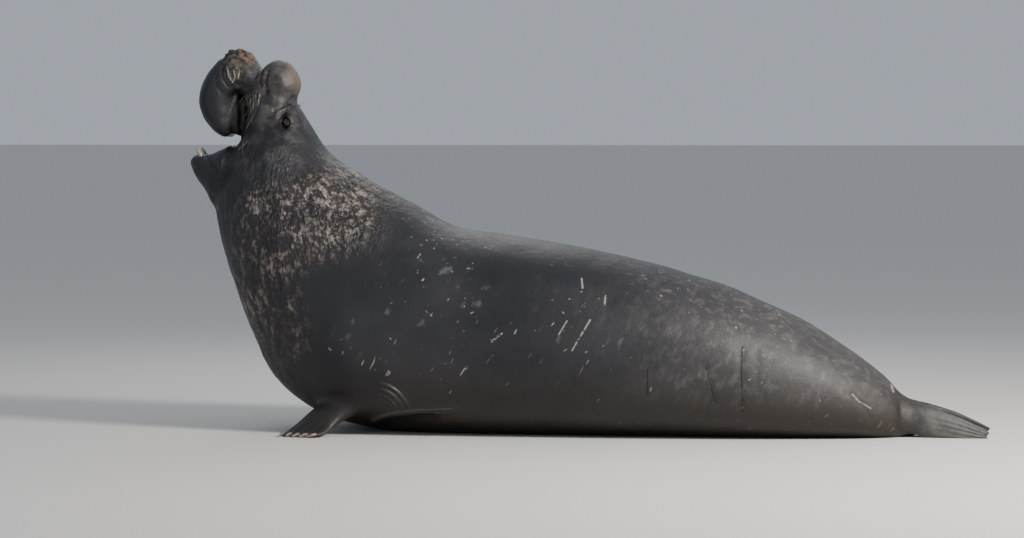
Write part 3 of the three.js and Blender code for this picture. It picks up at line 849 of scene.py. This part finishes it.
# Grey of the flank's smears and the hips' dust, and of the painted highlight on the pleats and
# rim
SMEAR_AND_HIGHLIGHT = (0.115, 0.106, 0.101, 1)
CRUST = (0.115, 0.098, 0.08, 1)
SCAB = (0.19, 0.102, 0.05, 1)
SHADE_BETWEEN_SCABS = (0.016, 0.011, 0.009, 1)
TAN = (0.125, 0.099, 0.076, 1)
SCAR_AND_HIGHLIGHT = (0.3, 0.27, 0.23, 1)
MUZZLE = (0.056, 0.049, 0.045, 1)
MOUTH = (0.075, 0.026, 0.024, 1)
FLIPPER = (0.021, 0.0175, 0.016, 1)
PALE_WEB = (0.08, 0.074, 0.07, 1)
BLACK = (0.002, 0.0018, 0.0018, 1)
PUPIL_RIM, IRIS_RIM = (0.014, 0.006, 0.003, 1), (0.034, 0.014, 0.007, 1)
EYE_WHITE, EYE_VEINS = (0.06, 0.036, 0.03, 1), (0.1, 0.068, 0.056, 1)
HORN, HORN_DARK = (0.21, 0.17, 0.13, 1), (0.08, 0.06, 0.045, 1)
IVORY, IVORY_BROWN = (0.28, 0.24, 0.18, 1), (0.1, 0.07, 0.04, 1)
TONGUE_PINK, TONGUE_DARK = (0.13, 0.045, 0.042, 1), (0.075, 0.028, 0.028, 1)
WHISKER = (0.16, 0.13, 0.1, 1)
GROUND = (0.62, 0.6, 0.57, 1)

# Long pale scars and painted highlights on folds of the left side, a painted highlight on the
# rim behind the foreflippers and painted shade in cracks of the hips: each from one [x, z] place
# to another, and its width
LONG_SCARS = [
    ([111, 572], [70, 500], 6),
    ([66, 494], [30, 429], 5),
    ([1, 566], [-37, 500], 5),
    ([53, 761], [63, 719], 6),
    ([173, 682], [173, 644], 7),
    ([-344, 477], [-306, 506], 6),
    ([1338, 218], [1366, 186], 6),
    ([1366, 186], [1423, 150], 5),
    ([1490, 287], [1524, 217], 5),
]
HIGHLIT_FOLDS = [
    ([-1605, 1640], [-1613, 1575], 4),
    ([-1580, 1645], [-1588, 1590], 4),
    ([-1628, 1625], [-1636, 1570], 3),
    ([-1744, 1780], [-1734, 1736], 4),
    ([-1734, 1736], [-1719, 1701], 4),
    ([-1719, 1701], [-1704, 1726], 4),
    ([-1704, 1726], [-1709, 1765], 4),
    ([-1682, 1760], [-1690, 1722], 4),
    ([-1673, 1411], [-1653, 1342], 4),
    ([-1632, 1416], [-1688, 1372], 4),
    ([-1560, 1690], [-1548, 1672], 4),
]
RIM = [
    ([-975, 65], [-916, 92], 14),
    ([-916, 92], [-838, 117], 14),
    ([-838, 117], [-701, 131], 11),
    ([-701, 131], [-560, 139], 8),
]
CRACKS = [
    ([825, 446], [822, 300], 4),
    ([822, 300], [828, 139], 5),
    ([655, 363], [703, 175], 4),
    ([385, 337], [385, 218], 4),
]


def skin_paint():
    """Charcoal hide that dries to dusty grey at the hips, brown low down, with a knobbly pale
    shield on the chest and neck, a scabby crest, a tan back bump and pale scars. There are also
    painted highlights on the shield's knobs, the face's folds, the bump and brow, the pleats and
    rim behind the foreflippers and the left hind web, and painted shade in creases, cracks,
    nostrils, round the eyes, between the crest's scabs and under the hanging nose."""
    paint = Paint("hide")
    x, z = paint.part("X"), paint.part("Z")
    left = (0.0 - paint.part("Y")).between(0.0, 0.03)
    shield, glow, throat, bare = map(paint.mask, ("shield", "glow", "throat", "bare"))
    head, crest, tawny, bump = map(paint.mask, ("head", "crest", "tawny", "bump"))
    mouth, nostril, lid, hollow = map(paint.mask, ("mouth", "nostril", "lid", "hollow"))
    crease, outer = paint.mask("crease"), 1.0 - paint.mask("middle")

    # Noises that are used more than once
    clouds = paint.noise(0.3, 5, (1.6, 1, 1))
    mottle = paint.noise(0.045, 5)
    grain = paint.noise(0.012, 3)
    hair = paint.noise(0.0045, 2, (3, 1, 1), 0.2)

    # Hide: cloudy charcoal, dusty towards the tail and brown low down
    colour = (clouds.between(0.38, 0.66) * 0.8).blend(CHARCOAL, SLATE)
    dry = (x.between(-0.1, 1.5) * (0.45 + 0.8 * mottle)).clamped()
    colour = dry.blend(colour, DUSTY)
    low = (0.4 - z + 0.25 * (clouds - 0.5)).between(0.0, 0.3) * (1.0 - bare)
    colour = (low * 0.8).blend(colour, BROWN)

    # Rubbed smears on the flank, and dust at the hips
    upper = z.between(0.3, 0.6) * (1.0 - head) * (1.0 - 0.7 * shield)
    smears = paint.noise(0.05, 3, (2.4, 1, 1), 1.1).between(0.6, 0.74)
    smears = smears * clouds.between(0.42, 0.6) * upper
    colour = (smears * 0.65).blend(colour, SMEAR_AND_HIGHLIGHT)
    dust = paint.noise(0.042, 5, (1.7, 1, 1), 1.2, 0.6).between(0.47, 0.68)
    colour = (dust * x.between(0.0, 0.9) * z.between(0.08, 0.35) * 0.45).blend(colour, SMEAR_AND_HIGHLIGHT)

    # Shield of knobs, raw and pale on their tops, partly a painted highlight
    knobs = paint.noise(0.03, 3, (1, 1, 1.9), 0.25, 0.6) + 0.25 * (1.0 - paint.cells(0.022))
    drift = paint.noise(0.13, 4, (1, 1, 1.3), rough=0.6).between(0.4, 0.68)
    raw_and_highlit = knobs.between(0.58, 0.82) * (glow * (0.2 + 1.2 * drift)).clamped()
    colour = (shield * 0.7).blend(colour, SHIELD_BASE)
    colour = (glow * drift * 0.35).blend(colour, SHIELD_MIDDLE)
    colour = (raw_and_highlit * 0.9).blend(colour, SHIELD_PALE)

    # Head: greyer muzzle, tan bump and brow that are partly a painted highlight, scabs on the
    # crest with painted shade between them. Then bare flippers, with a painted highlight on the
    # left hind web only.
    rubbed = paint.noise(0.09, 5, rough=0.6).between(0.4, 0.62)
    colour = (head * rubbed * x.between(-1.8, -1.66)).blend(colour, MUZZLE)
    # Tan of the bump and brow, partly a painted highlight
    colour = (bump.between(0.2, 0.8) * (0.3 + mottle)).clamped().blend(colour, TAN)
    scabs = paint.noise(0.023, 6, rough=0.7)
    # Painted shade in the low holes between the scabs
    crust = scabs.between(0.45, 0.62).blend(SHADE_BETWEEN_SCABS, CRUST)
    colour = (crest.between(0.15, 0.55) * 0.85).blend(colour, crust)
    colour = (tawny.between(0.2, 0.7) * scabs.between(0.44, 0.58)).blend(colour, SCAB)
    colour = (bare * 0.9).blend(colour, FLIPPER)
    # Painted light: only the left hind web is made paler, the right one stays dark
    web = x.between(1.6, 1.72) * (0.4 + 0.6 * mottle.between(0.3, 0.6)) * left
    colour = web.blend(colour, PALE_WEB)

    # Pale scars: scattered in three slants, and placed; the placed lines on the face's folds are
    # painted highlights
    marks = paint.noise(0.021, 1, (5, 1, 1), 1.05).between(0.715, 0.765)
    marks = marks.over(paint.noise(0.016, 1, (4, 1, 1), 0.6).between(0.75, 0.79))
    marks = marks.over(paint.noise(0.018, 1, (3, 1, 1), -0.8).between(0.77, 0.81))
    marks = marks * clouds.between(0.42, 0.54) * (1.0 - bare) * (1.0 - 0.7 * low)
    marks = marks * (1.0 - head) * (1.0 - 0.7 * shield) * grain.between(0.25, 0.5)
    for first, last, width in LONG_SCARS + HIGHLIT_FOLDS:
        marks = marks.over(paint.streak(first, last, width) * left * grain.between(0.34, 0.46))
    colour = (marks * 0.8).blend(colour, SCAR_AND_HIGHLIGHT)

    # Painted highlights on the pleats and rim, painted shade in cracks and creases, the mouth's
    # own colour, then painted shade in the nostrils, round the eye opening and under the hanging
    # nose
    pleats = paint.pleats() * outer
    rim = paint.streaks(RIM) * outer * (0.35 + mottle)
    # Painted highlight along the pleats and the rim
    colour = (pleats * 0.3 + rim * 0.35).blend(colour, SMEAR_AND_HIGHLIGHT)
    cracks = paint.streaks(CRACKS) * outer * mottle.between(0.3, 0.5)
    colour = (crease * 0.5).over(cracks * 0.5).blend(colour, BLACK)
    colour = mouth.blend(colour, MOUTH)
    colour = nostril.over(lid).over(hollow * 0.9).blend(colour, BLACK)

    # Roughness and bump
    rough = 0.5 + 0.15 * (mottle - 0.5) + 0.1 * dry + 0.08 * crest
    rough = rough - 0.2 * mouth + 0.1 * marks - 0.08 * glow - 0.15 * pleats
    strands = paint.noise(0.012, 3, (1, 1, 7)) * throat
    height = 0.3 * mottle + 0.12 * grain + 0.06 * hair + 0.15 * marks
    height = height + shield * (2.2 * knobs + 0.4 * mottle) + 1.2 * strands
    height = height + 1.3 * pleats + 0.6 * rim
    height = height + crest * (2.0 * scabs + 0.4 * grain) - 0.4 * cracks + 0.2 * head * grain
    return paint.finish(colour, rough, height, 0.008, Specular_IOR_Level=0.4)


def eye_paint():
    """A dark brown iris round a wide pupil, with a rim of bloodshot white."""
    paint = Paint("eye")
    out = paint.mask("gaze")
    streaks = paint.noise(0.003, 3)
    colour = out.between(0.46, 0.62).blend(PUPIL_RIM, IRIS_RIM)
    colour = out.between(0.36, 0.4).blend(BLACK, colour)
    colour = out.between(0.86, 0.94).blend(colour, streaks.blend(EYE_WHITE, EYE_VEINS))
    return paint.finish(colour, 0.1, Coat_Weight=0.4, Coat_Roughness=0.05)


def horn_paint():
    """Pale brown claw horn, darker in the long streaks."""
    paint = Paint("claw")
    grain = paint.noise(0.006, 3, (4, 1, 1))
    colour = grain.between(0.35, 0.7).blend(HORN, HORN_DARK)
    return paint.finish(colour, 0.42, grain, 0.0008)


def ivory_paint():
    """Yellowed tooth, browner at the root."""
    paint = Paint("ivory")
    root = 1.0 - paint.part("Z").between(1.325, 1.362)
    stain = root * (0.6 + 0.6 * paint.noise(0.01))
    colour = stain.clamped().blend(IVORY, IVORY_BROWN)
    return paint.finish(colour, 0.3, Coat_Weight=0.4)


def tongue_paint():
    """Wet pink flesh with small bumps."""
    paint = Paint("tongue")
    dots = paint.cells(0.005)
    colour = paint.noise(0.03).blend(TONGUE_PINK, TONGUE_DARK)
    return paint.finish(colour, 0.35, dots, 0.0015, Coat_Weight=0.3, Coat_Roughness=0.2)


def kept(piece, material, slot, *nodes):
    """Gives a piece its material and its place in the model."""
    piece.data.materials.clear()
    piece.data.materials.append(material)
    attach(piece, "root")
    if nodes:
        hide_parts(*nodes)


def mark(piece, name, values):
    """Keeps one number on each point of a mesh."""
    attribute = piece.data.attributes.new(name, "FLOAT", "POINT")
    attribute.data.foreach_set("value", np.asarray(values, np.float32))


# Eyes: where they look, out and a little forward, the gap between the ball and the lids, and
# the angle from the gaze, in radians, that the mark calls 1
GAZE = (-0.3, -0.93, 0.16)
EYE_GAP, GAZE_REACH = 0.6, 1.2


def eyes(material):
    """Balls with their poles turned to the gaze. The mark tells how far a point is from the
    gaze, as a share of GAZE_REACH."""
    gaze = Vector(GAZE).normalized()
    turn = np.array(gaze.to_track_quat("Z", "Y").to_matrix())
    unit = ball((0, 0, 0), (1, 1, 1), rows=64, facets=64) @ turn.T
    for name, flip in (("eye_left", 1), ("eye_right", -1)):
        side = (1, flip, 1)
        piece = solid(name + "_ball", (unit * (EYE_RADIUS - EYE_GAP) + EYE_AT) * side)
        away = (Surface(piece.data).points - np.array(EYE_AT) * side) / EYE_RADIUS
        angle = np.arccos(np.clip(away @ (np.array(gaze) * side), -1, 1))
        mark(piece, "gaze", angle / GAZE_REACH)
        kept(piece, material, "eye", name)


def claws(material):
    """Round horn claws along the digits of both foreflippers."""
    for number in range(len(DIGITS)):
        table, across = claw_table(number)
        rings = limb(table, across, plain, THIN_ROWS, CLAW_FACETS)
        for side, shape in zip(SIDES, both(rings)):
            piece = solid(f"horn_{side}_{number + 1}", shape)
            kept(piece, material, "claw", f"claw_{side}_{number + 1}")


def canines(material):
    """The two lower canines, as lofted cones bent forwards."""
    rings = limb(CANINE, CANINE_ACROSS, plain, THIN_ROWS, CANINE_FACETS)
    for side, shape in zip(SIDES, both(rings)):
        kept(solid(f"tooth_{side}", shape), material, "ivory", f"canine_{side}")


# Whiskers: a hair's radius, thinning, root depth, rings, facets and droop, and how many there are
# in the columns and rows of the upper lip and above the eye
WHISKER_RADIUS, WHISKER_THINS, WHISKER_DEPTH = 0.6, 0.85, 3
WHISKER_RINGS, WHISKER_FACETS = 10, 6
WHISKER_DROOP = np.array([0.2, 0, -1.0]) * 0.0018
WHISKER_COLUMNS, WHISKER_ROWS, BROW_HAIRS = 3, 5, 4
WHISKER_PAD = [(-1642, -92, 1648), (-1612, -104, 1610), (-1606, -118, 1560), (-1618, -120, 1510)]


def whisker_roots(chance):
    """Where hairs of the left side are wished, how long they are, and where they head: rows down
    the edge of the upper lip, and a tuft above the eye."""
    roots = []
    for column in range(WHISKER_COLUMNS):
        for row in range(WHISKER_ROWS):
            share = row / (WHISKER_ROWS - 1)
            base = through(WHISKER_PAD, np.array([(len(WHISKER_PAD) - 1) * share]))[0]
            wish = base + np.array([-14.0 * column + 16, 6.0 * column, -6.0 * column])
            roots.append((wish, 40 + 50 * chance.random(), (-0.25, -0.6, -0.75)))
    for k in range(BROW_HAIRS):
        roots.append(((-1455 + 9 * k, -128, 1588 - 3 * k), 45 + 20 * k, (0.1, -0.75, 0.6)))
    return roots


def whiskers(skin, material):
    """Tapering curved hairs from their roots on the skin. A hair bends along
    root + t * length * out + (t * length)^2 * droop, and is thinner by 1 - thins * t."""
    chance = np.random.default_rng(11)
    t = np.linspace(0, 1, WHISKER_RINGS)[:, None]
    angle = np.linspace(0, 2 * np.pi, WHISKER_FACETS, endpoint=False)[:, None]
    radius = WHISKER_RADIUS * (1 - WHISKER_THINS * t)[:, :, None]
    points, faces, start = [], [], 0
    for wish, length, heading in whisker_roots(chance):
        place = (np.array(wish) + TO_MIDDLE) * MM
        _, root, normal, _ = skin.closest_point_on_mesh(Vector(place))
        root = np.array(root) / MM - TO_MIDDLE
        out = np.array(heading) + 0.3 * np.array(normal) + 0.08 * chance.normal(size=3)
        out /= np.linalg.norm(out)
        path = root - WHISKER_DEPTH * out + t * length * out + (t * length) ** 2 * WHISKER_DROOP
        over = np.cross(out, (0, 0, 1))
        over /= np.linalg.norm(over)
        circle = np.cos(angle) * over + np.sin(angle) * np.cross(over, out)
        rings = path[:, None, :] + radius * circle
        for shape in both(rings):
            own, hair = grid_mesh(shape)
            points.append(own)
            faces += [[start + k for k in face] for face in hair]
            start += len(own)
    kept(mesh_of("whiskers", np.vstack(points), faces), material, "ivory")


skin, seam = bare_skin()
surface = Surface(skin.data)
masks = shape_skin(surface, seam)
for name, values in masks.items():
    mark(skin, name, values)

# The solids that the skin takes the place of
FLESH = ("head", "nose", "lower_jaw", "neck", "chest", "belly", "hips", "tail")
FLIPPERS = [f"{end}flipper_{side}" for end in ("fore", "hind_") for side in SIDES]
kept(skin, skin_paint(), "skin", *FLESH, *FLIPPERS)
eyes(eye_paint())
claws(horn_paint())
canines(ivory_paint())
whiskers(skin, Paint("whisker").finish(WHISKER, 0.45))
tongue = solid("tongue_flesh", ball(*TONGUE))
kept(tongue, tongue_paint(), "mouth", "tongue")


def lamp(name, place, aim, size, power, colour):
    """A soft square light that faces a place."""
    light = bpy.data.lights.new(name, "AREA")
    light.size = size
    light.energy = power
    light.color = colour
    piece = added(name, light)
    piece.location = place
    piece.rotation_euler = (Vector(aim) - Vector(place)).to_track_quat("-Z", "Y").to_euler()


# Each lamp: its name, place, what it faces, size in metres, power in watts, and colour
lamp("key", (5.2, -3.4, 4.6), (-0.6, 0.0, 0.9), 1.6, 900, (1.0, 0.965, 0.91))
lamp("fill", (-4.5, -5.5, 2.6), (-0.6, 0.0, 0.9), 4.5, 45, (0.86, 0.92, 1.0))
lamp("back", (-1.5, 4.5, 4.5), (-0.5, 0.0, 0.8), 3.0, 70, (1.0, 0.97, 0.93))

world = bpy.data.worlds.new("studio")
world.use_nodes = True
background = world.node_tree.nodes["Background"].inputs
background["Color"].default_value = (0.8, 0.88, 1.0, 1)
background["Strength"].default_value = 0.5
bpy.context.scene.world = world

# Half the floor's width, and its height, in metres
FLOOR_SIZE, FLOOR_HEIGHT = 300, -0.0005
corners = [(-1, -1), (1, -1), (1, 1), (-1, 1)]
places = [(FLOOR_SIZE * x, FLOOR_SIZE * y, FLOOR_HEIGHT) for x, y in corners]
floor_mesh = bpy.data.meshes.new("floor")
floor_mesh.from_pydata(places, [], [(0, 1, 2, 3)])
floor_mesh.materials.append(Paint("floor").finish(GROUND, 0.85))
floor = added("floor", floor_mesh)

# The photo in pixels: its width, the camera's focal length, and the horizon above the middle
PHOTO_WIDTH, FOCAL_LENGTH, HORIZON = 1024, 3264, 139

# Camera, in metres: low on the left side and a little towards the tail
CAMERA_FAR, CAMERA_TURN, CAMERA_HEIGHT, CAMERA_ASIDE = 16.0, np.radians(9), 1.47, 0.345
SENSOR_WIDTH = 36

camera = added("camera", bpy.data.cameras.new("camera"))
camera.location = (
    CAMERA_FAR * np.sin(CAMERA_TURN) - CAMERA_ASIDE + TO_MIDDLE[0] * MM,
    -CAMERA_FAR * np.cos(CAMERA_TURN),
    CAMERA_HEIGHT,
)
camera.rotation_euler = (np.pi / 2 - np.arctan(HORIZON / FOCAL_LENGTH), 0, CAMERA_TURN)
camera.data.sensor_width = SENSOR_WIDTH
camera.data.lens = SENSOR_WIDTH * FOCAL_LENGTH / PHOTO_WIDTH
bpy.context.scene.camera = camera
